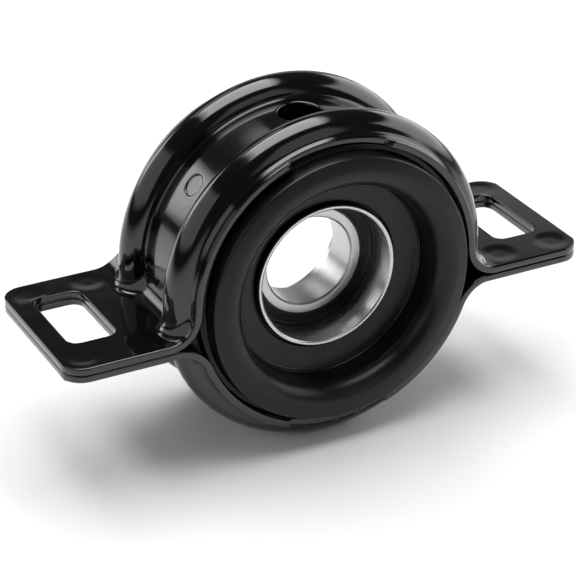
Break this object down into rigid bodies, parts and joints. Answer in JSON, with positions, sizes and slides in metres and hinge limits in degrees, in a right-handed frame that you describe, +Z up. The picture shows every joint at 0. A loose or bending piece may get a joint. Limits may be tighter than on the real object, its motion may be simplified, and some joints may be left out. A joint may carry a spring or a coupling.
{
  "type": "driveshaft centre bearing",
  "caption": "Ball bearing bonded in a rubber cushion that two pressed steel half brackets hold, with a slotted ear on each side for bolting under a vehicle.",
  "frame": {"origin": "middle of the bearing, on the shaft axis", "axes": "+X from ear to ear, +Y along the shaft to the rear, +Z up"},
  "size_m": [0.1826, 0.0623, 0.111],
  "materials": {
    "bracket_paint": "gloss",
    "cushion_rubber": "satin",
    "race_steel": "polished",
    "ball_steel": "polished",
    "cage_steel": "satin",
    "seal_rubber": "satin"
  },
  "bodies": {
    "mounting": {"upper_bracket": "bracket_paint", "lower_bracket": "bracket_paint", "rubber_cushion": "cushion_rubber", "outer_race": "race_steel", "front_seal_lip": "seal_rubber", "rear_seal_lip": "seal_rubber", "front_seal_core": "cage_steel", "rear_seal_core": "cage_steel"},
    "shaft_race": {"inner_race": "race_steel"},
    "ball_cage": {"cage_front": "cage_steel", "cage_rear": "cage_steel", "cage_rivets": "cage_steel", "ball_1": "ball_steel", "ball_2": "ball_steel", "ball_3": "ball_steel", "ball_4": "ball_steel", "ball_5": "ball_steel", "ball_6": "ball_steel", "ball_7": "ball_steel", "ball_8": "ball_steel", "ball_9": "ball_steel", "ball_10": "ball_steel", "ball_11": "ball_steel"}
  },
  "joints": [
    {"name": "inner_race_spin", "type": "hinge", "parent": "mounting", "child": "shaft_race", "pos_m": [0, 0, 0], "axis": [0, 1, 0], "continuous": true},
    {"name": "cage_spin", "type": "hinge", "parent": "mounting", "child": "ball_cage", "pos_m": [0, 0, 0], "axis": [0, 1, 0], "continuous": true}
  ],
  "couplings": [
    {"joint": "cage_spin", "follows": "inner_race_spin", "ratio": 0.41495}
  ]
}
